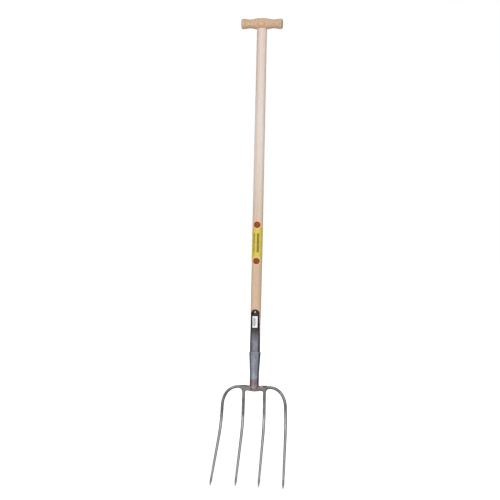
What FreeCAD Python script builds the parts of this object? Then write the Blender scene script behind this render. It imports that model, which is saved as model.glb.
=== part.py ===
import FreeCAD, Part
import math
import os

# Four-tine muck fork with a wooden pole and a turned T grip. Millimetres.
# Z is up, the pole stands on the Z axis, and the tines lean forward, towards -Y.
# The origin is on the pole's axis, level with the underside of the grip's necks, where the
# fork hangs on the two prongs of a rack.

V = FreeCAD.Vector
X_AXIS = V(1, 0, 0)
Y_AXIS = V(0, 1, 0)
Z_AXIS = V(0, 0, 1)
CENTRE = V(0, 0, 0)

# ---- Tines ----
TINE_DROP = 275.0            # from the middle of the cross bar straight down to the points
TINE_WIDTH = 8.8             # side to side, where a tine leaves the cross bar
TINE_DEPTH = 10.4            # front to back, also the thickness of the cross bar
TINE_NECK_WIDTH = 5.8        # at the thinnest place, just above the point
TINE_POINT_WIDTH = 6.6       # across the widest place of the spear point
TINE_POINT_LENGTH = 24.0
TINE_TIP_WIDTH = 1.4         # the blunt end of the point
POINT_SWELL_PLACE = 0.3      # share of the point's length above its widest place
POINT_SWELL_DEPTH = 0.86     # depth at the widest place, as a share of the neck's depth
POINT_LOWER_WIDTH = 0.68     # half way from there to the end, as a share of the widest place
POINT_LOWER_DEPTH = 0.56     # and as a share of the neck's depth
TINE_FULL_LENGTH = 112.0     # how far down a tine keeps its full width
TINE_STRAIGHT = 70.0         # straight down from the cross bar before the forward bend
TINE_BEND_RADIUS = 120.0
INNER_LEAN = 37.0            # degrees forward from straight down, below the bend
OUTER_LEAN = 39.5
INNER_X = 31.9               # from the middle to each inner tine
INNER_SPLAY = 0.5            # degrees outwards
OUTER_SPLAY = 2.4

# ---- Cross bar and arches ----
BAR_HEIGHT = 16.0
ARCH_X = 47.0                # where the arch of an outer tine leaves the cross bar
ARCH_RADIUS = 46.0           # of the arch's centre line, through ARCH_TURN degrees
ARCH_TURN = 61.0
ARCH_LOWER_RADIUS = 76.0     # from there down to the straight part of the tine
WEB_RADIUS = 12.0            # between the arch and the inner tine
CROTCH_RADIUS = 5.0          # between the cross bar and the inner tine, on the inner side
YOKE_LEG = 24.0              # of an inner tine that is one outline with the cross bar
CREST_HEIGHT = 1.2           # of the low swell on the cross bar's top above each inner tine
CREST_WIDTH = 26.0
EDGE_ROUNDING = 0.9          # of half the tine's width

# ---- Boss and tang in the middle of the cross bar ----
BOSS_TOP = 22.0              # above the middle of the cross bar, like the heights below
BOSS_FLARE_TOP = 0.3
BOSS_BULGE = 1.4             # how far the boss stands out below the cross bar
BOSS_FLARE_RADIUS = 16.0     # hollow rounding from the boss to the arms
BOSS_FLARE_INSET = 1.0       # how far the flare's ends lie inside the faces of the arms
BOSS_EDGE = 3.2
TANG_ROOT = 11.0
TANG_TIP = 5.0
TANG_LENGTH = 92.0

# ---- Pole ----
POLE_DIAMETER = 32.6         # where it is thickest
POLE_THICKEST = 250.0
POLE_TOP_DIAMETER = 30.4     # at the shoulder under the grip
POLE_THROAT_DIAMETER = 27.3  # at the upper rim of the ferrule
POLE_END_DIAMETER = 20.2
POLE_END_LENGTH = 24.0       # of the straight lower end, above the boss
TENON_DIAMETER = 22.0

# ---- Ferrule ----
FERRULE_TOP = 110.0
FERRULE_WALL = 1.95
FERRULE_RIM_HEIGHT = 3.0
FERRULE_RIM_FLARE = 0.35
FERRULE_LIP = 1.0            # the straight edge at the top of the rim
TONGUE_BOTTOM = 0.6
TONGUE_WIDTH = 21.5

# ---- Straps and rivet ----
STRAP_THICKNESS = 1.75
STRAP_FOOT_GAP = 1.0         # from the pole's lower end up to the straps
STRAP_SHOULDER = 227.0       # where the rounded top starts
STRAP_FLARE_TOP = 216.0      # where the strap starts to widen
STRAP_NECK_ANGLE = 47.0      # wrapped each side of the front, above the flare
STRAP_RIM_ANGLE = 77.5       # wrapped each side where it goes into the ferrule
STRAP_SEAM = 0.8             # between the lower edges of the two straps
RIVET_HEIGHT = 232.0
RIVET_DIAMETER = 4.0
RIVET_HEAD_DIAMETER = 6.0
RIVET_HEAD_HEIGHT = 1.5
RIVET_SHANK_REACH = 0.5      # how far the shank goes into each head

# ---- T grip ----
GRIP_HEIGHT = 1107.5         # of the grip's axis
GRIP_LENGTH = 124.5
GRIP_MIDDLE_DIAMETER = 35.3
GRIP_NECK_DIAMETER = 26.8
GRIP_NECK_X = 36.0
GRIP_END_DIAMETER = 31.0
GRIP_END_X = 55.0
GRIP_END_CROWN = 0.1         # how much smaller the radius is where the end's rounding starts
GRIP_SWELL_X = 0.45          # share of the way to the neck where the middle's swell is given
GRIP_SWELL = 0.72            # and its share of the step from neck to middle there
GRIP_EDGE = 3.0
GRIP_SEAT_DEPTH = 3.05       # of the spot-faced seat in the underside
WEDGE_LENGTH = 26.0
WEDGE_TOP = 3.4
WEDGE_TIP = 1.0

# ---- Labels ----
PAPER = 0.12
LABEL_MIDDLE = 441.5
LABEL_FIELD_HEIGHT = 91.5    # of the part that goes round the pole
LABEL_GAP_ANGLE = 14.0       # left open at the back of the pole
LABEL_LOBE_RADIUS = 13.5     # of the round end at the front, above and below the field
LABEL_LOBE_SPACING = 110.0   # from one lobe's centre to the other's
STICKER_BOTTOM = 185.0
STICKER_HEIGHT = 34.5
STICKER_WIDTH = 15.5

# ---- Clearances ----
WOOD_FIT = 0.05
STEEL_FIT = 0.10
PAPER_FIT = 0.02

# ---- Worked out from the sizes above ----
GRIP_Z = GRIP_NECK_DIAMETER / 2
BAR_Z = GRIP_Z - GRIP_HEIGHT
POLE_BOTTOM = BOSS_TOP + STEEL_FIT
SHOULDER = GRIP_HEIGHT - GRIP_MIDDLE_DIAMETER / 2 + GRIP_SEAT_DEPTH
STRAP_BOTTOM = POLE_BOTTOM + STRAP_FOOT_GAP
PLENTY = 10.0                # how far a cutting tool reaches past what it cuts
NEAR = 0.5                   # how close an edge's middle lies to the cut it belongs to


def at(x, y, z):
    """A point whose height is counted from the middle of the cross bar."""
    return V(x, y, BAR_Z + z)


def polygon_face(points):
    return Part.Face(Part.makePolygon(points + [points[0]]))


def arc(centre, radius, start, end):
    """An arc in the front plane between two angles, in degrees counted from +X towards +Z."""
    def on_circle(angle):
        turn = math.radians(angle)
        return centre + V(radius * math.cos(turn), 0, radius * math.sin(turn))
    return Part.Arc(on_circle(start), on_circle((start + end) / 2), on_circle(end)).toShape()


def turned(profile, angle=360.0):
    """A solid of revolution round the pole's axis, from the corners of half its section."""
    return polygon_face(profile).revolve(CENTRE, Z_AXIS, angle)


# ---------------------------------------------------------------- pole profile

def pole_radius(z):
    """Radius of the pole at a height above the middle of the cross bar."""
    stations = [
        (POLE_BOTTOM, POLE_END_DIAMETER / 2),
        (POLE_BOTTOM + POLE_END_LENGTH, POLE_END_DIAMETER / 2),
        (FERRULE_TOP, POLE_THROAT_DIAMETER / 2),
        (POLE_THICKEST, POLE_DIAMETER / 2),
        (SHOULDER, POLE_TOP_DIAMETER / 2),
    ]
    if z <= stations[0][0]:
        return stations[0][1]
    for (low, r_low), (high, r_high) in zip(stations, stations[1:]):
        if z <= high:
            return r_low + (r_high - r_low) * (z - low) / (high - low)
    return stations[-1][1]


def profile_heights(bottom, top):
    """The ends of a stretch of the pole and every change of taper between them."""
    changes = [POLE_BOTTOM + POLE_END_LENGTH, FERRULE_TOP, POLE_THICKEST]
    return [bottom] + [z for z in changes if bottom < z < top] + [top]


def shell(bottom, top, inner_gap, thickness, angle=360.0):
    """A ring that follows the pole's profile, a stated gap outside it, from +X on."""
    heights = profile_heights(bottom, top)
    inner = [at(pole_radius(z) + inner_gap, 0, z) for z in heights]
    outer = [at(pole_radius(z) + inner_gap + thickness, 0, z) for z in heights]
    return turned(inner + outer[::-1], angle)


def profile_solid(bottom, top, gap):
    """A full solid that follows the pole's profile, a stated gap outside it."""
    rim = [at(pole_radius(z) + gap, 0, z) for z in profile_heights(bottom, top)]
    return turned([at(0, 0, bottom)] + rim + [at(0, 0, top)])


# ---------------------------------------------------------------- tines

def flat_length(lean):
    """Length of a tine along its blank, from the cross bar's middle to the point."""
    turn = math.radians(lean)
    below_bend = TINE_DROP - TINE_STRAIGHT - TINE_BEND_RADIUS * math.sin(turn)
    return TINE_STRAIGHT + TINE_BEND_RADIUS * turn + below_bend / math.cos(turn)


def bent_place(x, down, lean):
    """Place of a point of the flat blank after the tines are bent forward, and the slope there."""
    turn = math.radians(lean)
    past = down - TINE_STRAIGHT
    if past <= 0:
        return at(x, 0, -down), 0.0
    slope = min(past / TINE_BEND_RADIUS, turn)
    rest = past - TINE_BEND_RADIUS * slope
    forward = TINE_BEND_RADIUS * (1 - math.cos(slope)) + rest * math.sin(slope)
    drop = TINE_STRAIGHT + TINE_BEND_RADIUS * math.sin(slope) + rest * math.cos(slope)
    return at(x, -forward, -drop), slope


def rounded_section(centre, across, deep, width, depth):
    """A rounded rectangle, nearly an oval, round a centre and along two directions."""
    rounding = EDGE_ROUNDING * min(width, depth) / 2

    def on_corner(quarter, angle):
        diagonal = math.radians(90 * quarter + 45)
        u = math.copysign(width / 2 - rounding, math.cos(diagonal))
        v = math.copysign(depth / 2 - rounding, math.sin(diagonal))
        turn = math.radians(90 * quarter + angle)
        return centre + across * (u + rounding * math.cos(turn)) + deep * (v + rounding * math.sin(turn))

    edges = []
    for quarter in range(4):
        start, middle, end = [on_corner(quarter, angle) for angle in (0, 45, 90)]
        edges.append(Part.Arc(start, middle, end).toShape())
        edges.append(Part.makeLine(end, on_corner((quarter + 1) % 4, 0)))
    return Part.Wire(edges)


def tine_section(x, down, splay, lean, width, depth):
    """A tine's section at a distance down the blank, square to the tine."""
    tilt = math.radians(splay)
    centre, slope = bent_place(x, down, lean)
    up = V(0, math.sin(slope), math.cos(slope))
    across = X_AXIS * math.cos(tilt) + up * math.sin(tilt)
    deep = V(0, math.cos(slope), -math.sin(slope))
    return rounded_section(centre, across, deep, width, depth)


def tine_width(down, length):
    """Full width at first, then a straight taper to the neck above the point."""
    neck = length - TINE_POINT_LENGTH
    share = max(0.0, (down - TINE_FULL_LENGTH) / (neck - TINE_FULL_LENGTH))
    return TINE_WIDTH + (TINE_NECK_WIDTH - TINE_WIDTH) * share


def tine(start_x, start_down, start_splay, splay, lean):
    """One tine on the right, from the yoke's end, whose direction it takes up, to its point."""
    def section(down, width, depth):
        x = start_x + (down - start_down) * math.tan(math.radians(splay))
        turn = start_splay if down == start_down else splay
        return tine_section(x, down, turn, lean, width, depth)

    length = flat_length(lean)
    neck = length - TINE_POINT_LENGTH
    bend_end = TINE_STRAIGHT + TINE_BEND_RADIUS * math.radians(lean)
    stretches = [(start_down, TINE_STRAIGHT, 3), (TINE_STRAIGHT, bend_end, 6), (bend_end, neck, 6)]
    downs = [start_down]
    for low, high, steps in stretches:
        downs += [low + (high - low) * step / steps for step in range(1, steps + 1)]
    shank = []
    for down in downs:
        width = tine_width(down, length)
        shank.append(section(down, width, width * TINE_DEPTH / TINE_WIDTH))

    # the spear point swells a little, is ground flatter than the shank and ends blunt
    swell = neck + TINE_POINT_LENGTH * POINT_SWELL_PLACE
    neck_depth = TINE_NECK_WIDTH * TINE_DEPTH / TINE_WIDTH
    stations = [
        (neck, TINE_NECK_WIDTH, neck_depth),
        (swell, TINE_POINT_WIDTH, neck_depth * POINT_SWELL_DEPTH),
        ((swell + length) / 2, TINE_POINT_WIDTH * POINT_LOWER_WIDTH, neck_depth * POINT_LOWER_DEPTH),
        (length, TINE_TIP_WIDTH, TINE_TIP_WIDTH),
    ]
    point = [section(*station) for station in stations]
    return Part.makeLoft(shank, True, False).fuse(Part.makeLoft(point, True, True))


# ---------------------------------------------------------------- fork head

def arch_centres():
    """Centres of the two arcs of an outer tine's arch."""
    upper = at(ARCH_X, 0, BAR_HEIGHT / 2 - TINE_WIDTH / 2 - ARCH_RADIUS)
    joint = math.radians(90 - ARCH_TURN)
    towards_joint = V(math.cos(joint), 0, math.sin(joint))
    return upper, upper + towards_joint * (ARCH_RADIUS - ARCH_LOWER_RADIUS)


def arch_end():
    """Where the outer tine's centre line leaves the arch: its x and its distance down."""
    tilt = math.radians(OUTER_SPLAY)
    end = arch_centres()[1] + V(math.cos(tilt), 0, math.sin(tilt)) * ARCH_LOWER_RADIUS
    return end.x, BAR_Z - end.z


def yoke_edges():
    """Right half of the outline of the cross bar with its arch and the top of its inner tine."""
    half = TINE_WIDTH / 2
    top = BAR_HEIGHT / 2
    upper, lower = arch_centres()
    joint_angle = 90 - ARCH_TURN
    outer_side = INNER_X + half
    inner_side = INNER_X - half

    # the web's rounding touches the inner tine's outer side and the underside of the arch
    inner_arch = ARCH_RADIUS - half
    web_x = outer_side + WEB_RADIUS
    web_rise = math.sqrt((inner_arch - WEB_RADIUS) ** 2 - (web_x - ARCH_X) ** 2)
    web = V(web_x, 0, upper.z + web_rise)
    touch_angle = math.degrees(math.atan2(web_rise, web_x - ARCH_X))
    crotch = at(inner_side - CROTCH_RADIUS, 0, -top - CROTCH_RADIUS)

    crest_start = at(INNER_X - CREST_WIDTH / 2, 0, top)
    crest_end = at(INNER_X + CREST_WIDTH / 2, 0, top)
    edges = [
        Part.makeLine(at(0, 0, top), crest_start),
        Part.Arc(crest_start, at(INNER_X, 0, top + CREST_HEIGHT), crest_end).toShape(),
        Part.makeLine(crest_end, at(ARCH_X, 0, top)),
        arc(upper, ARCH_RADIUS + half, 90, joint_angle),
        arc(lower, ARCH_LOWER_RADIUS + half, joint_angle, OUTER_SPLAY),
        arc(lower, ARCH_LOWER_RADIUS - half, OUTER_SPLAY, joint_angle),
        arc(upper, inner_arch, joint_angle, touch_angle),
        arc(web, WEB_RADIUS, touch_angle, 180),
        Part.makeLine(web - X_AXIS * WEB_RADIUS, at(outer_side, 0, -YOKE_LEG)),
        Part.makeLine(at(outer_side, 0, -YOKE_LEG), at(inner_side, 0, -YOKE_LEG)),
        Part.makeLine(at(inner_side, 0, -YOKE_LEG), crotch + X_AXIS * CROTCH_RADIUS),
        arc(crotch, CROTCH_RADIUS, 0, 90),
        Part.makeLine(crotch + Z_AXIS * CROTCH_RADIUS, at(0, 0, -top)),
    ]
    tilt = math.radians(OUTER_SPLAY)
    outwards = V(math.cos(tilt), 0, math.sin(tilt))
    arch_cut = Part.makeLine(
        lower + outwards * (ARCH_LOWER_RADIUS + half), lower + outwards * (ARCH_LOWER_RADIUS - half)
    )
    return edges + [arch_cut]


def rounded_plate(wire, direction, rounding, keep_sharp):
    """A plate extruded from an outline, its long edges rounded except where keep_sharp says so."""
    plate = Part.Face(wire).extrude(direction)
    along = direction / direction.Length

    def lies_across(edge):
        ends = [vertex.Point for vertex in edge.Vertexes]
        return len(ends) == 2 and abs((ends[1] - ends[0]).dot(along)) > 0.5 * direction.Length

    rims = [edge for edge in plate.Edges if not lies_across(edge) and not keep_sharp(edge)]
    return plate.makeFillet(rounding, rims)


def yoke():
    """Cross bar, arches and the tops of the inner tines, with every long edge rounded."""
    right = yoke_edges()
    left = [edge.mirror(CENTRE, X_AXIS) for edge in right]
    wire = Part.Wire(Part.__sortEdges__(right + left))
    wire.translate(V(0, -TINE_DEPTH / 2, 0))
    cut_centres = [
        at(side * x, 0, -down) for side in (1, -1) for x, down in (arch_end(), (INNER_X, YOKE_LEG))
    ]

    def is_cut(edge):
        middle = edge.CenterOfMass
        return any(math.hypot(middle.x - c.x, middle.z - c.z) < NEAR for c in cut_centres)

    rounding = EDGE_ROUNDING * min(TINE_WIDTH, TINE_DEPTH) / 2
    return rounded_plate(wire, V(0, TINE_DEPTH, 0), rounding, is_cut)


def boss_radius():
    return strap_radius(POLE_BOTTOM)


def upright(edge):
    box = edge.BoundBox
    return box.ZLength > max(box.XLength, box.YLength)


def boss_flare():
    """The round boss and its hollow roundings out to the arms, seen from above."""
    radius = boss_radius()
    arm = TINE_DEPTH / 2 - BOSS_FLARE_INSET
    reach = radius + BOSS_FLARE_RADIUS
    flare_x = math.sqrt(reach ** 2 - (arm + BOSS_FLARE_RADIUS) ** 2)
    touch = V(flare_x, arm + BOSS_FLARE_RADIUS, 0) * (radius / reach)
    bottom = -BAR_HEIGHT / 2 - BOSS_BULGE

    # the hollow arc's middle lies between its two ends, a radius from its centre
    centre = V(flare_x, arm + BOSS_FLARE_RADIUS, 0)
    end = V(flare_x, arm, 0)
    to_middle = ((touch - centre) + (end - centre)).normalize()
    middle = centre + to_middle * BOSS_FLARE_RADIUS

    def place(point, sx, sy):
        return at(point.x * sx, point.y * sy, bottom)

    edges = []
    for sy in (1, -1):
        edges.append(Part.Arc(place(touch, 1, sy), at(0, radius * sy, bottom), place(touch, -1, sy)))
        for sx in (1, -1):
            edges.append(Part.Arc(place(touch, sx, sy), place(middle, sx, sy), place(end, sx, sy)))
    edges = [edge.toShape() for edge in edges]
    for sx in (1, -1):
        edges.append(Part.makeLine(place(end, sx, 1), place(end, sx, -1)))
    plate = Part.Face(Part.Wire(Part.__sortEdges__(edges))).extrude(V(0, 0, BOSS_FLARE_TOP - bottom))

    # seen from the front its underside sags in one shallow arc below the cross bar's
    reach = POLE_DIAMETER
    ends = [at(side * flare_x, -reach, -BAR_HEIGHT / 2) for side in (1, -1)]
    roof = [end + Z_AXIS * BAR_HEIGHT for end in ends]
    side_view = Part.Wire([
        Part.Arc(ends[1], at(0, -reach, bottom), ends[0]).toShape(),
        Part.makeLine(ends[0], roof[0]),
        Part.makeLine(roof[0], roof[1]),
        Part.makeLine(roof[1], ends[1]),
    ])
    plate = plate.common(Part.Face(side_view).extrude(V(0, 2 * reach, 0)))
    return plate.makeFillet(BOSS_EDGE, [edge for edge in plate.Edges if not upright(edge)])


def boss():
    """The round neck inside the ferrule."""
    return Part.makeCylinder(boss_radius(), BOSS_TOP + BOSS_EDGE, at(0, 0, -BOSS_EDGE))


def square_spike(gap):
    """The tang's square taper, or with a gap the hole that it is driven into."""
    def square(side, z):
        half = side / 2 + gap
        corners = [at(-half, -half, z), at(half, -half, z), at(half, half, z), at(-half, half, z)]
        return Part.makePolygon(corners + [corners[0]])
    root = square(TANG_ROOT, BOSS_TOP)
    tip = square(TANG_TIP, BOSS_TOP + TANG_LENGTH + gap)
    return Part.makeLoft([root, tip], True, True)


def fork_head():
    outer_x, outer_down = arch_end()
    head = yoke()
    for shape in (
        tine(outer_x, outer_down, OUTER_SPLAY, OUTER_SPLAY, OUTER_LEAN),
        tine(INNER_X, YOKE_LEG, 0.0, INNER_SPLAY, INNER_LEAN),
    ):
        head = head.fuse(shape).fuse(shape.mirror(CENTRE, X_AXIS))
    return head.fuse([boss_flare(), boss(), square_spike(0.0)]).removeSplitter()


# ---------------------------------------------------------------- ferrule

def ferrule_gap():
    """From the pole's surface to the inside of the ferrule: one strap and its two clearances."""
    return WOOD_FIT + STRAP_THICKNESS + STEEL_FIT


def ferrule():
    """Conical sleeve with a flared upper rim and a rounded tongue at the front and the back."""
    body = shell(TONGUE_BOTTOM, FERRULE_TOP, ferrule_gap(), FERRULE_WALL)
    rim_foot = FERRULE_TOP - FERRULE_RIM_HEIGHT
    foot_r = pole_radius(rim_foot) + ferrule_gap()
    top_r = pole_radius(FERRULE_TOP) + ferrule_gap() + FERRULE_WALL
    rim = turned([
        at(foot_r + FERRULE_WALL / 2, 0, rim_foot),
        at(foot_r + FERRULE_WALL, 0, rim_foot),
        at(top_r + FERRULE_RIM_FLARE, 0, FERRULE_TOP - FERRULE_LIP),
        at(top_r + FERRULE_RIM_FLARE, 0, FERRULE_TOP),
        at(top_r - FERRULE_WALL / 2, 0, FERRULE_TOP),
    ])

    # below the cross bar's top only the tongues are left
    side_rim = BAR_HEIGHT / 2 + STEEL_FIT
    depth = side_rim - TONGUE_BOTTOM
    half_width = TONGUE_WIDTH / 2
    reach = POLE_DIAMETER
    tongue_outline = Part.Wire([
        Part.Arc(
            at(-half_width, -reach, side_rim), at(0, -reach, TONGUE_BOTTOM), at(half_width, -reach, side_rim)
        ).toShape(),
        Part.makeLine(at(half_width, -reach, side_rim), at(-half_width, -reach, side_rim)),
    ])
    tongues = Part.Face(tongue_outline).extrude(V(0, 2 * reach, 0))
    skirt = Part.makeBox(2 * reach, 2 * reach, depth + PLENTY, at(-reach, -reach, side_rim - depth - PLENTY))
    return body.fuse(rim).cut(skirt.cut(tongues)).removeSplitter()


# ---------------------------------------------------------------- straps and rivet

def strap_radius(z):
    """Radius of a strap's outer face."""
    return pole_radius(z) + WOOD_FIT + STRAP_THICKNESS


def strap_sector():
    """What lies within a strap's two side edges, which point straight at the pole's axis."""
    reach = 2 * POLE_DIAMETER
    seam_angle = math.degrees(math.asin(STRAP_SEAM / 2 / strap_radius(STRAP_BOTTOM)))
    stations = [
        (STRAP_BOTTOM - PLENTY, 90.0 - seam_angle),
        (STRAP_BOTTOM, 90.0 - seam_angle),
        (FERRULE_TOP, STRAP_RIM_ANGLE),
        (STRAP_FLARE_TOP, STRAP_NECK_ANGLE),
        (STRAP_SHOULDER + POLE_DIAMETER, STRAP_NECK_ANGLE),
    ]
    sections = []
    for z, angle in stations:
        side = reach * math.sin(math.radians(angle))
        back = -reach * math.cos(math.radians(angle))
        right = [at(side, back, z), at(side, -reach, z)]
        left = [at(-side, -reach, z), at(-side, back, z)]
        sections.append(Part.makePolygon([at(0, 0, z)] + right + left + [at(0, 0, z)]))
    return Part.makeLoft(sections, True, True)


def strap_crown(half):
    """What is cut away round the top of a strap to leave a dome."""
    reach = 2 * POLE_DIAMETER
    block = Part.makeBox(2 * reach, reach, reach, at(-reach, -reach, STRAP_SHOULDER))
    return block.cut(Part.makeCylinder(half, reach, at(0, -reach, STRAP_SHOULDER), Y_AXIS))


def rivet_hole():
    reach = 2 * POLE_DIAMETER
    return Part.makeCylinder(
        RIVET_DIAMETER / 2 + WOOD_FIT, 2 * reach, at(0, -reach, RIVET_HEIGHT), Y_AXIS
    )


def front_strap():
    half = strap_radius(STRAP_SHOULDER) * math.sin(math.radians(STRAP_NECK_ANGLE))
    ring = shell(STRAP_BOTTOM, STRAP_SHOULDER + half, WOOD_FIT, STRAP_THICKNESS)
    return ring.common(strap_sector()).cut(strap_crown(half)).cut(rivet_hole())


def rivet_head():
    """A low dome that sits on the front strap."""
    seat_r = strap_radius(RIVET_HEIGHT)
    half = RIVET_HEAD_DIAMETER / 2
    dome_r = (half ** 2 + RIVET_HEAD_HEIGHT ** 2) / (2 * RIVET_HEAD_HEIGHT)
    dome_centre = at(0, -(seat_r + RIVET_HEAD_HEIGHT - dome_r), RIVET_HEIGHT)
    column = Part.makeCylinder(half, seat_r, at(0, -seat_r / 2, RIVET_HEIGHT), V(0, -1, 0))
    return Part.makeSphere(dome_r, dome_centre).common(column)


def strap_rivet():
    """Shank through both straps and the pole, with a head seated on each strap."""
    seat_r = strap_radius(RIVET_HEIGHT)
    seat = profile_solid(RIVET_HEIGHT - PLENTY, RIVET_HEIGHT + PLENTY, WOOD_FIT + STRAP_THICKNESS)
    shank_end = seat_r + RIVET_SHANK_REACH
    shank = Part.makeCylinder(
        RIVET_DIAMETER / 2, 2 * shank_end, at(0, -shank_end, RIVET_HEIGHT), Y_AXIS
    )
    front = rivet_head().cut(seat)
    return shank.fuse([front, front.mirror(CENTRE, Y_AXIS)]).removeSplitter()


# ---------------------------------------------------------------- T grip and wedge

def grip_blank():
    """The turned T grip without its mortise."""
    half = GRIP_LENGTH / 2
    corner_x = half - GRIP_EDGE
    corner_r = GRIP_END_DIAMETER / 2 - GRIP_END_CROWN
    middle_r = GRIP_MIDDLE_DIAMETER / 2
    neck_r = GRIP_NECK_DIAMETER / 2
    shoulder_x = GRIP_NECK_X * GRIP_SWELL_X
    shoulder_r = neck_r + (middle_r - neck_r) * GRIP_SWELL
    right = [
        (shoulder_x, shoulder_r),
        (GRIP_NECK_X, neck_r),
        (GRIP_END_X, GRIP_END_DIAMETER / 2),
        (corner_x, corner_r),
    ]
    stations = [(-x, r) for x, r in reversed(right)] + [(0, middle_r)] + right
    curve = Part.BSplineCurve()
    curve.interpolate([V(x, 0, GRIP_Z + r) for x, r in stations])
    edges = [curve.toShape(), Part.makeLine(V(-half, 0, GRIP_Z), V(half, 0, GRIP_Z))]
    rim = GRIP_Z + corner_r - GRIP_EDGE
    for side in (1, -1):
        diagonal = GRIP_EDGE * math.sqrt(0.5)
        edges.append(Part.Arc(
            V(side * corner_x, 0, rim + GRIP_EDGE),
            V(side * (corner_x + diagonal), 0, rim + diagonal),
            V(side * half, 0, rim),
        ).toShape())
        edges.append(Part.makeLine(V(side * half, 0, rim), V(side * half, 0, GRIP_Z)))
    face = Part.Face(Part.Wire(Part.__sortEdges__(edges)))
    return face.revolve(V(0, 0, GRIP_Z), X_AXIS, 360)


def wedge_blank(gap):
    """The wedge's taper across the tenon, or with a gap the slot that it is driven into."""
    top = GRIP_Z + GRIP_MIDDLE_DIAMETER / 2
    reach = TENON_DIAMETER
    half_top = WEDGE_TOP / 2 + gap
    half_tip = WEDGE_TIP / 2 + gap
    foot = top - WEDGE_LENGTH - gap
    face = polygon_face([
        V(-half_tip, -reach, foot),
        V(half_tip, -reach, foot),
        V(half_top, -reach, top),
        V(-half_top, -reach, top),
    ])
    return face.extrude(V(0, 2 * reach, 0))


def tenon_column(radius):
    height = GRIP_MIDDLE_DIAMETER
    return Part.makeCylinder(radius, height, at(0, 0, SHOULDER - STEEL_FIT))


def t_grip(blank):
    seat_r = pole_radius(SHOULDER) + STEEL_FIT
    seat = Part.makeCylinder(seat_r, GRIP_MIDDLE_DIAMETER, at(0, 0, SHOULDER), V(0, 0, -1))
    return blank.cut(tenon_column(TENON_DIAMETER / 2 + WOOD_FIT)).cut(seat)


def grip_wedge(blank):
    return wedge_blank(0.0).common(tenon_column(TENON_DIAMETER / 2)).common(blank)


# ---------------------------------------------------------------- pole

def pole(blank):
    tenon = tenon_column(TENON_DIAMETER / 2).common(blank).cut(wedge_blank(WOOD_FIT))
    shaft = profile_solid(POLE_BOTTOM, SHOULDER, 0.0)
    return shaft.fuse(tenon).cut(square_spike(WOOD_FIT)).cut(rivet_hole()).removeSplitter()


# ---------------------------------------------------------------- labels

def pole_label():
    """Wrapped field, open at the back, with a round lobe at the front of each end."""
    half = LABEL_FIELD_HEIGHT / 2
    wrapped = 360.0 - LABEL_GAP_ANGLE
    label = shell(LABEL_MIDDLE - half, LABEL_MIDDLE + half, PAPER_FIT, PAPER, wrapped)
    label.rotate(CENTRE, Z_AXIS, 90.0 + LABEL_GAP_ANGLE / 2)
    for side in (1, -1):
        z = LABEL_MIDDLE + side * LABEL_LOBE_SPACING / 2
        lobe = shell(z - LABEL_LOBE_RADIUS, z + LABEL_LOBE_RADIUS, PAPER_FIT, PAPER)
        punch = Part.makeCylinder(LABEL_LOBE_RADIUS, POLE_DIAMETER, at(0, -POLE_DIAMETER, z), Y_AXIS)
        label = label.fuse(lobe.common(punch))
    return label.removeSplitter()


def price_sticker():
    top = STICKER_BOTTOM + STICKER_HEIGHT
    ring = shell(STICKER_BOTTOM, top, WOOD_FIT + STRAP_THICKNESS + PAPER_FIT, PAPER)
    corner = at(-STICKER_WIDTH / 2, -POLE_DIAMETER, STICKER_BOTTOM)
    front = Part.makeBox(STICKER_WIDTH, POLE_DIAMETER, STICKER_HEIGHT, corner)
    return ring.common(front)


def build():
    strap = front_strap()
    blank = grip_blank()
    return {
        "fork_head": fork_head(),
        "ferrule": ferrule(),
        "front_strap": strap,
        "back_strap": strap.mirror(CENTRE, Y_AXIS),
        "strap_rivet": strap_rivet(),
        "pole": pole(blank),
        "t_grip": t_grip(blank),
        "grip_wedge": grip_wedge(blank),
        "pole_label": pole_label(),
        "price_sticker": price_sticker(),
    }


os.makedirs("parts", exist_ok=True)
for name, shape in build().items():
    solids = shape.Solids
    print(name, len(solids), "solid(s), valid", shape.isValid(), "volume", round(shape.Volume, 1))
    whole = solids[0] if len(solids) == 1 else shape
    whole.exportStep("parts/" + name + ".step")
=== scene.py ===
import bpy
import math
from mathutils import Matrix, Vector


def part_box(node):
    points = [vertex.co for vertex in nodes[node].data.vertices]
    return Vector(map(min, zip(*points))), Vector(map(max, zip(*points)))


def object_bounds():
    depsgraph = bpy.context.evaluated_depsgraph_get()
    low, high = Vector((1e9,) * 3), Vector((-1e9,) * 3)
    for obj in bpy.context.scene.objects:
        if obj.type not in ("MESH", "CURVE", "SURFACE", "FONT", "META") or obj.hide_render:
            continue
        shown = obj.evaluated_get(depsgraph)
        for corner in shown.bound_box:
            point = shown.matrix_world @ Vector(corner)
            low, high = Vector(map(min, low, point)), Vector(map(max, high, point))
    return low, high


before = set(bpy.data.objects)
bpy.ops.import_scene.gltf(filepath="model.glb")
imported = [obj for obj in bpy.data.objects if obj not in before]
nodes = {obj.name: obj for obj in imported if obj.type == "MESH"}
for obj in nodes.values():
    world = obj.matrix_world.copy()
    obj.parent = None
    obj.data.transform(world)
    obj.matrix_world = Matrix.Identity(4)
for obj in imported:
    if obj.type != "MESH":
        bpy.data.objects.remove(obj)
cad_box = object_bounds()

MM = 0.001

# ---------------------------------------------------------------- places, in metres, from the frame

POLE_LOW, POLE_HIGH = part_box("pole")
LABEL_LOW, LABEL_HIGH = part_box("pole_label")
STICKER_LOW, STICKER_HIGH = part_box("price_sticker")
FERRULE_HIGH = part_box("ferrule")[1]
STRAP_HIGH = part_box("front_strap")[1]
GRIP_LOW, GRIP_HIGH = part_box("t_grip")
POLE_R = (POLE_HIGH.x - POLE_LOW.x) / 2
GRIP_AXIS = (GRIP_LOW.z + GRIP_HIGH.z) / 2
FERRULE_HEIGHT = 110 * MM                      # of its rim above the middle of the cross bar
BAR_Z = FERRULE_HIGH.z - FERRULE_HEIGHT
FLOOR_Z = cad_box[0].z

# ---------------------------------------------------------------- camera

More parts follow.
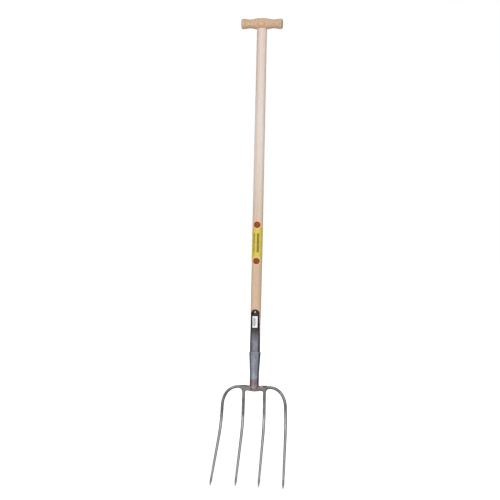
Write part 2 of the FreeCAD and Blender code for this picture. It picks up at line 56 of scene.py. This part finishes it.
VIEW_AZIMUTH = math.radians(7.5)
VIEW_DISTANCE = 3.5
VIEW_WIDTH = 1.52            # what the picture shows at the pole's distance
VIEW_ROLL = math.radians(1.26)
VIEW_BESIDE_POLE = 0.0218    # the picture's middle lies this far to the left of the pole
VIEW_HEIGHT = FLOOR_Z + 0.695
SENSOR = 36.0

# ---------------------------------------------------------------- material helpers


def rgb(red, green, blue):
    """A colour given as it looks on screen, 0 to 255, turned into linear light."""
    def linear(value):
        value = value / 255
        return value / 12.92 if value <= 0.04045 else ((value + 0.055) / 1.055) ** 2.4
    return (linear(red), linear(green), linear(blue), 1.0)


def grey(value):
    """A grey given in linear light."""
    return (value, value, value, 1.0)


class Steps:
    """Small steps that add shader nodes to one tree and hand back their results."""

    def __init__(self, tree, coordinates):
        self.tree = tree
        self.place = self.add("ShaderNodeTexCoord").outputs[coordinates]
        self.x, self.y, self.z = self.split(self.place)

    def put(self, socket, value):
        if isinstance(value, bpy.types.NodeSocket):
            self.tree.links.new(value, socket)
        else:
            socket.default_value = value

    def add(self, kind, inputs=None, **settings):
        node = self.tree.nodes.new(kind)
        for key, value in settings.items():
            setattr(node, key, value)
        for key, value in (inputs or {}).items():
            self.put(node.inputs[key], value)
        return node

    def split(self, vector):
        node = self.add("ShaderNodeSeparateXYZ", {"Vector": vector})
        return node.outputs[0], node.outputs[1], node.outputs[2]

    def mapped(self, vector, scale=(1, 1, 1), turn=(0, 0, 0), move=(0, 0, 0)):
        node = self.add("ShaderNodeMapping", {
            "Vector": vector, "Location": move, "Rotation": turn, "Scale": scale,
        })
        return node.outputs["Vector"]

    def maths(self, operation, *values):
        node = self.add("ShaderNodeMath", operation=operation)
        for index, value in enumerate(values):
            self.put(node.inputs[index], value)
        return node.outputs[0]

    def times(self, first, second):
        return self.maths("MULTIPLY", first, second)

    def plus(self, first, second):
        return self.maths("ADD", first, second)

    def minus(self, first, second):
        return self.maths("SUBTRACT", first, second)

    def length(self, first, second):
        return self.maths("SQRT", self.plus(self.times(first, first), self.times(second, second)))

    def fade(self, value, start, end, low=0.0, high=1.0):
        """Low up to start, high from end on, and a smooth change between them."""
        node = self.add("ShaderNodeMapRange", {
            "Value": value, "From Min": start, "From Max": end, "To Min": low, "To Max": high,
        }, interpolation_type="SMOOTHSTEP")
        return node.outputs["Result"]

    def inside(self, value, half, soft):
        """One where a value lies within half of zero, nought beyond, with a soft edge."""
        return self.fade(self.maths("ABSOLUTE", value), half - soft, half + soft, 1.0, 0.0)

    def ramp(self, value, *stops):
        node = self.add("ShaderNodeValToRGB", {"Fac": value})
        elements = node.color_ramp.elements
        while len(elements) < len(stops):
            elements.new(1.0)
        for element, (place, colour) in zip(elements, stops):
            element.position = place
            element.color = colour
        return node.outputs["Color"]

    def mix(self, share, first, second, blend="MIX"):
        node = self.add("ShaderNodeMix", data_type="RGBA", blend_type=blend)
        self.put(node.inputs[0], share)
        self.put(node.inputs[6], first)
        self.put(node.inputs[7], second)
        return node.outputs[2]

    def shade(self, colour, value, low, high):
        """A colour made darker or lighter: times low where value is 0 and times high where it is 1."""
        return self.mix(1.0, colour, self.ramp(value, (0.0, grey(low)), (1.0, grey(high))), "MULTIPLY")

    def noise(self, vector, scale=(1, 1, 1), detail=3.0, roughness=0.5, distortion=0.0, seed=0.0):
        """Noise with so many cells to a metre along each direction."""
        node = self.add("ShaderNodeTexNoise", {
            "Vector": self.mapped(vector, scale, move=(seed, seed, seed)), "Scale": 1.0,
            "Detail": detail, "Roughness": roughness, "Distortion": distortion,
        })
        return node.outputs["Fac"]

    def even(self, value, spread=0.18):
        """Noise gathers round a half: this spreads it out from 0 to 1."""
        return self.fade(value, 0.5 - spread, 0.5 + spread)


class Paint(Steps):
    """One procedural material round its Principled shader, in the part's own coordinates."""

    def __init__(self, name):
        self.material = bpy.data.materials.new(name)
        self.material.use_nodes = True
        super().__init__(self.material.node_tree, "Object")
        self.shader = self.tree.nodes["Principled BSDF"]

    def side_shade_mask(self, start, end):
        """One on surfaces that look sideways, up or down, nought on those facing front or back: the mask for
        painted shade on the sides.
        """
        normal = self.add("ShaderNodeTexCoord").outputs["Normal"]
        facing = self.maths("ABSOLUTE", self.split(normal)[1])
        return self.fade(facing, start, end, 1.0, 0.0)

    def surface(self, **inputs):
        """Shader inputs by name, with spaces written as underscores."""
        for key, value in inputs.items():
            self.put(self.shader.inputs[key.replace("_", " ")], value)

    def relief(self, *heights):
        """Bumps, each given as a height from 0 to 1 and its size in metres."""
        normal = None
        for height, size in heights:
            inputs = {"Height": height, "Distance": size, "Strength": 1.0}
            if normal is not None:
                inputs["Normal"] = normal
            normal = self.add("ShaderNodeBump", inputs).outputs["Normal"]
        self.surface(Normal=normal)


# ---------------------------------------------------------------- wood

GRAIN_ALONG_Z = (0.0, 0.0, 0.0)
GRAIN_ALONG_X = (0.0, math.pi / 2, 0.0)
POLE_HEART = (48 * MM, 26 * MM)                # the growth rings' centre, across the grain
GRIP_HEART = (GRIP_AXIS + 7 * MM, 38 * MM)
WEDGE_HEART = (20 * MM, 9 * MM)
RING_SWAY = 14 * MM                            # how far the rings wander


def wood(name, turn, tint, heart, ring_step, figure, streak):
    """Beech: growth rings round a far-off heart, broad streaks, fine fibres and short dark flecks.

    tint makes the ground colour, heart is the rings' centre across the grain, figure is how far
    the dark late wood shows and streak how far the broad streaks do.
    """
    p = Paint(name)
    grain = p.mapped(p.place, turn=turn)
    u, v = p.split(grain)[:2]

    sway = p.noise(grain, (3, 3, 2.5), detail=2)
    ripple = p.noise(grain, (70, 70, 5), detail=3)
    across = p.plus(p.minus(u, heart[0]), p.times(p.minus(sway, 0.5), RING_SWAY))
    radius = p.length(across, p.minus(v, heart[1]))
    count = p.plus(p.maths("DIVIDE", radius, ring_step), p.times(ripple, 1.1))
    late = p.ramp(
        p.maths("FRACT", count),
        (0.0, grey(0.05)), (0.35, grey(0.15)), (0.72, grey(0.55)), (0.92, grey(1.0)), (1.0, grey(0.1)),
    )
    broad = p.even(p.noise(grain, (120, 120, 1.6), detail=2, seed=3.0))
    fibre = p.noise(grain, (2200, 2200, 28), detail=4, roughness=0.65)
    fleck = p.fade(p.noise(grain, (1500, 1500, 260), detail=1, seed=7.0), 0.60, 0.70)
    cloud = p.even(p.noise(grain, (18, 18, 5), detail=4, seed=11.0))

    colour = tint(p)
    colour = p.mix(p.times(broad, streak), colour, p.mix(1.0, colour, rgb(243, 228, 222), "MULTIPLY"))
    colour = p.mix(p.times(late, figure), colour, p.mix(1.0, colour, rgb(222, 196, 170), "MULTIPLY"))
    colour = p.shade(colour, p.even(fibre), 0.94, 1.04)
    colour = p.shade(colour, cloud, 0.965, 1.02)
    colour = p.mix(p.times(fleck, 0.34), colour, rgb(150, 108, 74))
    p.surface(Base_Color=colour, Specular_IOR_Level=0.30)
    p.surface(Roughness=p.plus(0.46, p.plus(p.times(fibre, 0.22), p.times(cloud, 0.08))))
    p.relief((late, 0.03 * MM), (fibre, 0.05 * MM), (fleck, -0.03 * MM))
    return p.material


def pole_tint(p):
    """Pale and a little pink under the grip, tan towards the straps."""
    share = p.fade(p.z, STRAP_HIGH.z, GRIP_LOW.z)
    return p.ramp(
        share,
        (0.0, rgb(217, 189, 162)), (0.12, rgb(214, 191, 167)), (0.40, rgb(228, 217, 205)),
        (0.75, rgb(235, 226, 219)), (1.0, rgb(231, 217, 208)),
    )


def grip_tint(p):
    """Tan, darker over the last millimetres of each end, with a painted highlight as a paler line round each
    end's rim.
    """
    patch = p.even(p.noise(p.place, (26, 40, 40), detail=2, seed=5.0))
    colour = p.ramp(
        patch, (0.0, rgb(205, 184, 150)), (0.5, rgb(212, 189, 162)), (1.0, rgb(216, 186, 158)),
    )
    from_end = p.minus(GRIP_HIGH.x, p.maths("ABSOLUTE", p.x))
    # darker over the last 2.4 mm of each end
    colour = p.mix(p.fade(from_end, 0.3 * MM, 2.4 * MM, 0.65, 0.0), colour, rgb(140, 112, 82))
    # painted highlight: a paler line round each end's rim
    sheen_mask = p.inside(p.minus(from_end, 4.2 * MM), 0.7 * MM, 0.6 * MM)
    return p.mix(p.times(sheen_mask, 0.4), colour, rgb(232, 214, 190))


def wedge_tint(p):
    """Darker hardwood."""
    return p.ramp(p.noise(p.place, (200, 200, 60)), (0.3, rgb(176, 136, 96)), (0.7, rgb(196, 158, 118)))


# ---------------------------------------------------------------- steel


# heights above the middle of the cross bar
BEND_START = -75 * MM        # of the tines, where they turn forward
BEND_END = -155 * MM
POINT_START = -246 * MM
POINT_END = -256 * MM
HEAT_TINT_FULL = 20 * MM
HEAT_TINT_END = 34 * MM
STRAP_BLACK_ABOVE = 188 * MM
STRAP_SHEEN_BELOW = 138 * MM
BAR_TOP_SHADE_HALF = 44 * MM     # how far along the cross bar the painted shade on its top reaches


def steel_base(name):
    """Noise that every steel piece shares: patches of scale, fine pits and grinding lines."""
    p = Paint(name)
    patches = p.even(p.noise(p.place, (55, 55, 38), detail=6, roughness=0.62))
    pits = p.fade(p.noise(p.place, (1300, 1300, 1300), detail=3, seed=2.0), 0.60, 0.74)
    lines = p.noise(p.place, (2600, 2600, 70), detail=3, seed=4.0)
    return p, patches, pits, lines


def forged_steel():
    """Tines and cross bar: grey steel, with painted shade on the surfaces that face sideways."""
    p, patches, pits, lines = steel_base("forged_steel")
    height = p.minus(p.z, BAR_Z)
    colour = p.ramp(
        patches,
        (0.0, rgb(106, 105, 102)), (0.5, rgb(127, 126, 124)), (1.0, rgb(148, 147, 146)),
    )
    # the middle of the cross bar was heated to braze the ferrule on
    near_boss = p.times(p.inside(p.x, 16 * MM, 14 * MM), p.inside(height, 8 * MM, 12 * MM))
    colour = p.mix(p.times(near_boss, 0.5), colour, rgb(160, 136, 132))
    below = p.fade(height, BEND_START, BEND_END)
    # painted shade: surfaces that face sideways are darkened, less so below the bend
    flank_shade = p.times(p.side_shade_mask(0.30, 0.74), p.fade(below, 0.0, 1.0, 0.92, 0.36))
    colour = p.mix(flank_shade, colour, rgb(42, 40, 39))
    # painted shade: dark blotches along the top of the cross bar beside the ferrule
    bar_top_shade = p.times(p.fade(height, 3.0 * MM, 6.5 * MM), p.inside(p.x, BAR_TOP_SHADE_HALF, 8 * MM))
    scale = p.fade(p.noise(p.place, (160, 90, 90), detail=4, seed=9.0), 0.40, 0.52)
    colour = p.mix(p.times(p.times(bar_top_shade, scale), 0.85), colour, rgb(52, 48, 40))
    # paler and a little blue below the bend, and dark again at the points
    colour = p.mix(p.times(below, 0.80), colour, rgb(192, 192, 200))
    point = p.fade(height, POINT_START, POINT_END)
    colour = p.mix(p.times(point, 0.55), colour, rgb(78, 76, 76))
    colour = p.shade(colour, p.even(lines), 0.93, 1.05)
    colour = p.mix(p.times(pits, 0.5), colour, rgb(70, 66, 60))
    p.surface(Base_Color=colour, Metallic=0.96)
    p.surface(Roughness=p.plus(0.27, p.plus(p.times(patches, -0.06), p.times(lines, 0.12))))
    hammer = p.noise(p.place, (150, 150, 110), detail=2, seed=6.0)
    p.relief((hammer, 0.12 * MM), (patches, 0.03 * MM), (lines, 0.012 * MM), (pits, -0.03 * MM))
    return p.material


def ferrule_steel():
    """Blue-grey sleeve with a band of heat tint above its brazed tongues."""
    p, patches, pits, lines = steel_base("ferrule_steel")
    wander = p.times(p.minus(p.noise(p.place, (70, 70, 70), detail=3, seed=1.0), 0.5), 16 * MM)
    height = p.plus(p.minus(p.z, BAR_Z), wander)
    level = p.maths("DIVIDE", height, 40 * MM)
    blue = p.ramp(
        patches, (0.0, rgb(140, 142, 154)), (0.5, rgb(153, 156, 169)), (1.0, rgb(166, 169, 182)),
    )
    tint = p.ramp(
        level,
        (0.06, rgb(182, 160, 162)), (0.25, rgb(160, 132, 136)), (0.46, rgb(150, 118, 122)),
        (0.62, rgb(132, 112, 126)), (0.80, rgb(150, 150, 166)),
    )
    share = p.fade(height, HEAT_TINT_FULL, HEAT_TINT_END, 0.85, 0.0)
    colour = p.mix(share, blue, tint)
    # paler streaks where the strip was drawn over the mandrel
    streak = p.even(p.noise(p.place, (190, 190, 6), detail=2, seed=8.0))
    colour = p.shade(colour, streak, 0.86, 1.08)
    colour = p.shade(colour, p.even(lines), 0.95, 1.03)
    # painted shade on the surfaces that face sideways
    colour = p.mix(p.times(p.side_shade_mask(0.44, 0.82), 0.80), colour, rgb(42, 42, 50))
    # painted highlight: a pale band along the top of the rim
    rim = p.fade(p.z, FERRULE_HIGH.z - 1.6 * MM, FERRULE_HIGH.z - 0.4 * MM)
    colour = p.mix(p.times(rim, 0.5), colour, rgb(206, 208, 216))
    colour = p.mix(p.times(pits, 0.4), colour, rgb(60, 58, 64))
    p.surface(Base_Color=colour, Metallic=0.94)
    p.surface(Roughness=p.plus(0.24, p.plus(p.times(patches, 0.06), p.times(lines, 0.12))))
    dents = p.noise(p.place, (75, 75, 50), detail=1, seed=12.0)
    p.relief((dents, 0.45 * MM), (lines, 0.012 * MM), (pits, -0.02 * MM))
    return p.material


def strap_steel():
    """Oiled strap: black at the top, with a painted grey sheen towards the ferrule."""
    p, patches, pits, lines = steel_base("strap_steel")
    wander = p.times(p.minus(p.noise(p.place, (60, 60, 30), detail=3, seed=1.0), 0.5), 26 * MM)
    height = p.plus(p.minus(p.z, BAR_Z), wander)
    # painted sheen: the strap turns from black to grey lower down, where it is also more metallic and
    # smoother
    sheen_mask = p.fade(height, STRAP_BLACK_ABOVE, STRAP_SHEEN_BELOW)
    black = p.ramp(patches, (0.0, rgb(30, 25, 27)), (1.0, rgb(58, 50, 54)))
    sheen_grey = p.ramp(patches, (0.0, rgb(126, 123, 134)), (0.6, rgb(139, 137, 148)), (1.0, rgb(152, 150, 160)))
    colour = p.mix(sheen_mask, black, sheen_grey)
    # painted shade on the surfaces that face sideways
    colour = p.mix(p.times(p.side_shade_mask(0.50, 0.84), 0.88), colour, rgb(26, 23, 25))
    streak = p.even(p.noise(p.place, (260, 260, 9), detail=2, seed=8.0))
    colour = p.shade(colour, streak, 0.84, 1.08)
    colour = p.shade(colour, p.even(lines), 0.94, 1.04)
    colour = p.mix(p.times(pits, 0.45), colour, rgb(40, 36, 38))
    p.surface(Base_Color=colour, Metallic=p.fade(sheen_mask, 0.0, 1.0, 0.55, 0.95))
    p.surface(Roughness=p.plus(p.fade(sheen_mask, 0.0, 1.0, 0.34, 0.26), p.times(lines, 0.14)))
    p.relief((patches, 0.06 * MM), (lines, 0.015 * MM), (pits, -0.03 * MM))
    return p.material


def rivet_steel():
    """Bright hammered heads."""
    p, patches, pits, lines = steel_base("rivet_steel")
    colour = p.ramp(patches, (0.0, rgb(196, 194, 192)), (1.0, rgb(236, 234, 232)))
    p.surface(Base_Color=p.mix(p.times(pits, 0.3), colour, rgb(110, 104, 100)), Metallic=1.0)
    p.surface(Roughness=p.plus(0.22, p.times(lines, 0.14)))
    p.relief((p.noise(p.place, (500, 500, 500)), 0.06 * MM))
    return p.material


# ---------------------------------------------------------------- labels

LOBE_RADIUS = 13.5 * MM      # of the label's round ends
DISC_RADIUS = 10.05 * MM     # of the brown disc on each of them
PRINT_EDGE = 0.12 * MM       # how soft the edge of a print is
LABEL_RULES = ((2.0, 2.6), (5.6, 2.4), (-8.6, 2.6))   # mm round the pole from the front, and wide
LABEL_RULE_HALF = 29 * MM
STICKER_BARS = ((-5.0, 2.2, 12.0), (-0.8, 2.8, 13.5), (2.6, 1.4, 9.0))   # mm beside, wide, half long


def label_print():
    """Yellow field with plain rules, and a plain brown disc on a peach ground at each end."""
    p = Paint("label_print")
    middle = (LABEL_LOW.z + LABEL_HIGH.z) / 2
    half = (LABEL_HIGH.z - LABEL_LOW.z) / 2
    height = p.minus(p.z, middle)
    round_pole = p.times(p.maths("ARCTAN2", p.x, p.times(p.y, -1.0)), POLE_R)
    to_disc = p.length(p.x, p.minus(p.maths("ABSOLUTE", height), half - LOBE_RADIUS))
    at_front = p.maths("LESS_THAN", p.y, 0.0)

    mottle = p.even(p.noise(p.place, (90, 90, 90), detail=4))
    colour = p.ramp(mottle, (0.0, rgb(205, 184, 72)), (1.0, rgb(216, 194, 84)))
    ink = rgb(46, 48, 26)
    ends = p.inside(height, LABEL_RULE_HALF, PRINT_EDGE)
    for place, width in LABEL_RULES:
        rule = p.times(p.inside(p.minus(round_pole, place * MM), width / 2 * MM, PRINT_EDGE), ends)
        colour = p.mix(p.times(rule, 0.9), colour, ink)
    ring = p.times(p.inside(to_disc, LOBE_RADIUS, PRINT_EDGE), at_front)
    colour = p.mix(ring, colour, rgb(232, 190, 146))
    disc = p.times(p.inside(to_disc, DISC_RADIUS, PRINT_EDGE), at_front)
    brown = p.ramp(mottle, (0.0, rgb(126, 60, 2)), (1.0, rgb(142, 72, 4)))
    colour = p.mix(disc, colour, brown)
    dust = p.fade(p.noise(p.place, (700, 700, 240), detail=3, seed=3.0), 0.58, 0.74)
    colour = p.mix(p.times(dust, 0.18), colour, rgb(230, 220, 196))
    p.surface(Base_Color=colour, Roughness=p.plus(0.40, p.times(mottle, 0.14)), Specular_IOR_Level=0.25)
    p.relief((p.noise(p.place, (45, 45, 30), detail=2), 0.12 * MM), (dust, 0.01 * MM))
    return p.material


def sticker_paper():
    """White paper with plain grey bars where a price would be printed."""
    p = Paint("sticker_paper")
    middle = (STICKER_LOW.z + STICKER_HIGH.z) / 2
    height = p.minus(p.z, middle)
    fibre = p.even(p.noise(p.place, (900, 900, 900), detail=4))
    colour = p.ramp(fibre, (0.0, rgb(232, 232, 234)), (1.0, rgb(244, 244, 245)))
    for place, width, half_long in STICKER_BARS:
        bar = p.times(
            p.inside(p.minus(p.x, place * MM), width / 2 * MM, PRINT_EDGE),
            p.inside(height, half_long * MM, PRINT_EDGE),
        )
        colour = p.mix(p.times(bar, 0.85), colour, rgb(112, 110, 116))
    p.surface(Base_Color=colour, Roughness=p.plus(0.5, p.times(fibre, 0.15)), Specular_IOR_Level=0.3)
    p.relief((p.noise(p.place, (120, 120, 90), detail=2), 0.08 * MM), (fibre, 0.01 * MM))
    return p.material


# ---------------------------------------------------------------- dressing the nodes


def dress(node, material):
    """Puts a material in every slot of a CAD node."""
    for slot in nodes[node].material_slots:
        slot.material = material


def dress_all():
    dress("pole", wood("pole_wood", GRAIN_ALONG_Z, pole_tint, POLE_HEART, 4.2 * MM, 0.32, 0.8))
    dress("t_grip", wood("grip_wood", GRAIN_ALONG_X, grip_tint, GRIP_HEART, 1.9 * MM, 0.8, 0.5))
    dress("grip_wedge", wood("wedge_wood", GRAIN_ALONG_Z, wedge_tint, WEDGE_HEART, 1.4 * MM, 0.6, 0.4))
    dress("fork_head", forged_steel())
    dress("ferrule", ferrule_steel())
    strap = strap_steel()
    dress("front_strap", strap)
    dress("back_strap", strap)
    dress("strap_rivet", rivet_steel())
    dress("pole_label", label_print())
    dress("price_sticker", sticker_paper())


# ---------------------------------------------------------------- stage

FLOOR_SIZE = 60.0
FLOOR_FRONT = 0.85           # how pale the floor is in front of the fork and behind it
FLOOR_BACK = 0.4
FLOOR_GLOW = 1.25            # white to the camera even where it is mixed with the lit floor
SHADOW_SHARE = 0.3           # how much of the lit floor the camera sees beside the fork
SHADOW_REACH = 0.9
FLOOR_TURNOVER = 0.4         # how far in front and behind the floor changes between the two
FRONT_LIGHT = 1.46           # brightness of the dome of light in front
FRONT_TURN = math.radians(10)   # how far its middle is turned to the right
FRONT_EDGE = (-0.48, -0.12)  # where it fades out, as the share of a direction that points to the back
FRONT_TOP = (0.45, 0.85)     # and where it fades out upwards
FRONT_ABOVE = 0.3            # the share of it that is left above that
BACK_LIGHT = 0.9
BACK_EDGE = (0.80, 0.95)
TOP_LIGHT = 0.75
TOP_EDGE = (0.6, 0.95)
SIDE_LIGHT = 0.03
LAMP_AIM = (0.0, 0.0, -0.6)
LAMPS = (                    # name, place, diameter and watts
    ("key", (-0.7, -2.8, -0.1), 1.3, 13.0),
    ("back", (-0.9, 2.8, 0.2), 2.2, 46.0),
)


def make_camera():
    """The camera at the photograph's viewing angle."""
    data = bpy.data.cameras.new("camera")
    data.sensor_width = SENSOR
    data.lens = SENSOR * VIEW_DISTANCE / VIEW_WIDTH
    camera = bpy.data.objects.new("camera", data)
    bpy.context.scene.collection.objects.link(camera)
    back = Vector((math.sin(VIEW_AZIMUTH), -math.cos(VIEW_AZIMUTH), 0.0))
    right = Vector((math.cos(VIEW_AZIMUTH), math.sin(VIEW_AZIMUTH), 0.0))
    up = Vector((0.0, 0.0, 1.0))
    rolled_right = right * math.cos(VIEW_ROLL) + up * math.sin(VIEW_ROLL)
    rolled_up = up * math.cos(VIEW_ROLL) - right * math.sin(VIEW_ROLL)
    target = Vector((0.0, 0.0, VIEW_HEIGHT)) - right * VIEW_BESIDE_POLE
    turn = Matrix((rolled_right, rolled_up, back)).transposed().to_4x4()
    camera.matrix_world = Matrix.Translation(target + back * VIEW_DISTANCE) @ turn
    bpy.context.scene.camera = camera


def make_floor():
    """A wide white floor that runs into the white background without a line."""
    mesh = bpy.data.meshes.new("floor")
    corners = [(x * FLOOR_SIZE, y * FLOOR_SIZE, FLOOR_Z) for x, y in ((-1, -1), (1, -1), (1, 1), (-1, 1))]
    mesh.from_pydata(corners, [], [(0, 1, 2, 3)])
    floor = bpy.data.objects.new("floor", mesh)
    bpy.context.scene.collection.objects.link(floor)
    p = Paint("floor_white")
    to_back = p.fade(p.y, -FLOOR_TURNOVER, FLOOR_TURNOVER)
    grey_floor = p.ramp(to_back, (0.0, grey(FLOOR_FRONT)), (1.0, grey(FLOOR_BACK)))
    p.surface(Base_Color=grey_floor, Roughness=0.9)
    white = p.add("ShaderNodeEmission", {"Color": grey(1.0), "Strength": FLOOR_GLOW})
    share = p.fade(p.length(p.x, p.y), 0.0, SHADOW_REACH, 1.0 - SHADOW_SHARE, 1.0)
    seen = p.times(p.add("ShaderNodeLightPath").outputs["Is Camera Ray"], share)
    both = p.add("ShaderNodeMixShader", {0: seen, 1: p.shader.outputs[0], 2: white.outputs[0]})
    p.put(p.tree.nodes["Material Output"].inputs["Surface"], both.outputs[0])
    mesh.materials.append(p.material)


def make_world():
    """White to the camera. As light: a wide bright dome in front, a small one behind, some above."""
    world = bpy.data.worlds.new("studio")
    world.use_nodes = True
    w = Steps(world.node_tree, "Generated")
    away = w.minus(w.times(w.y, math.cos(FRONT_TURN)), w.times(w.x, math.sin(FRONT_TURN)))
    front = w.times(w.fade(away, *FRONT_EDGE, FRONT_LIGHT, 0.0), w.fade(w.z, *FRONT_TOP, 1.0, FRONT_ABOVE))
    behind = w.fade(w.y, *BACK_EDGE, 0.0, BACK_LIGHT)
    above = w.fade(w.z, *TOP_EDGE, 0.0, TOP_LIGHT)
    strength = w.plus(w.plus(front, behind), w.plus(above, SIDE_LIGHT))
    studio = w.add("ShaderNodeBackground", {"Color": grey(1.0), "Strength": strength})
    white = w.add("ShaderNodeBackground", {"Color": grey(1.0), "Strength": 1.0})
    seen = w.add("ShaderNodeLightPath").outputs["Is Camera Ray"]
    both = w.add("ShaderNodeMixShader", {0: seen, 1: studio.outputs[0], 2: white.outputs[0]})
    w.put(w.tree.nodes["World Output"].inputs["Surface"], both.outputs[0])
    bpy.context.scene.world = world


def make_lamp(name, place, size, power):
    data = bpy.data.lights.new(name, "AREA")
    data.shape = "DISK"
    data.size = size
    data.energy = power
    lamp = bpy.data.objects.new(name, data)
    bpy.context.scene.collection.objects.link(lamp)
    towards = Vector(LAMP_AIM) - Vector(place)
    lamp.matrix_world = Matrix.Translation(place) @ towards.to_track_quat("-Z", "Y").to_matrix().to_4x4()
    lamp.visible_camera = False


def make_lamps():
    for name, place, size, power in LAMPS:
        make_lamp(name, place, size, power)


dress_all()
make_camera()
make_floor()
make_world()
make_lamps()
bpy.context.scene.view_settings.view_transform = "Standard"
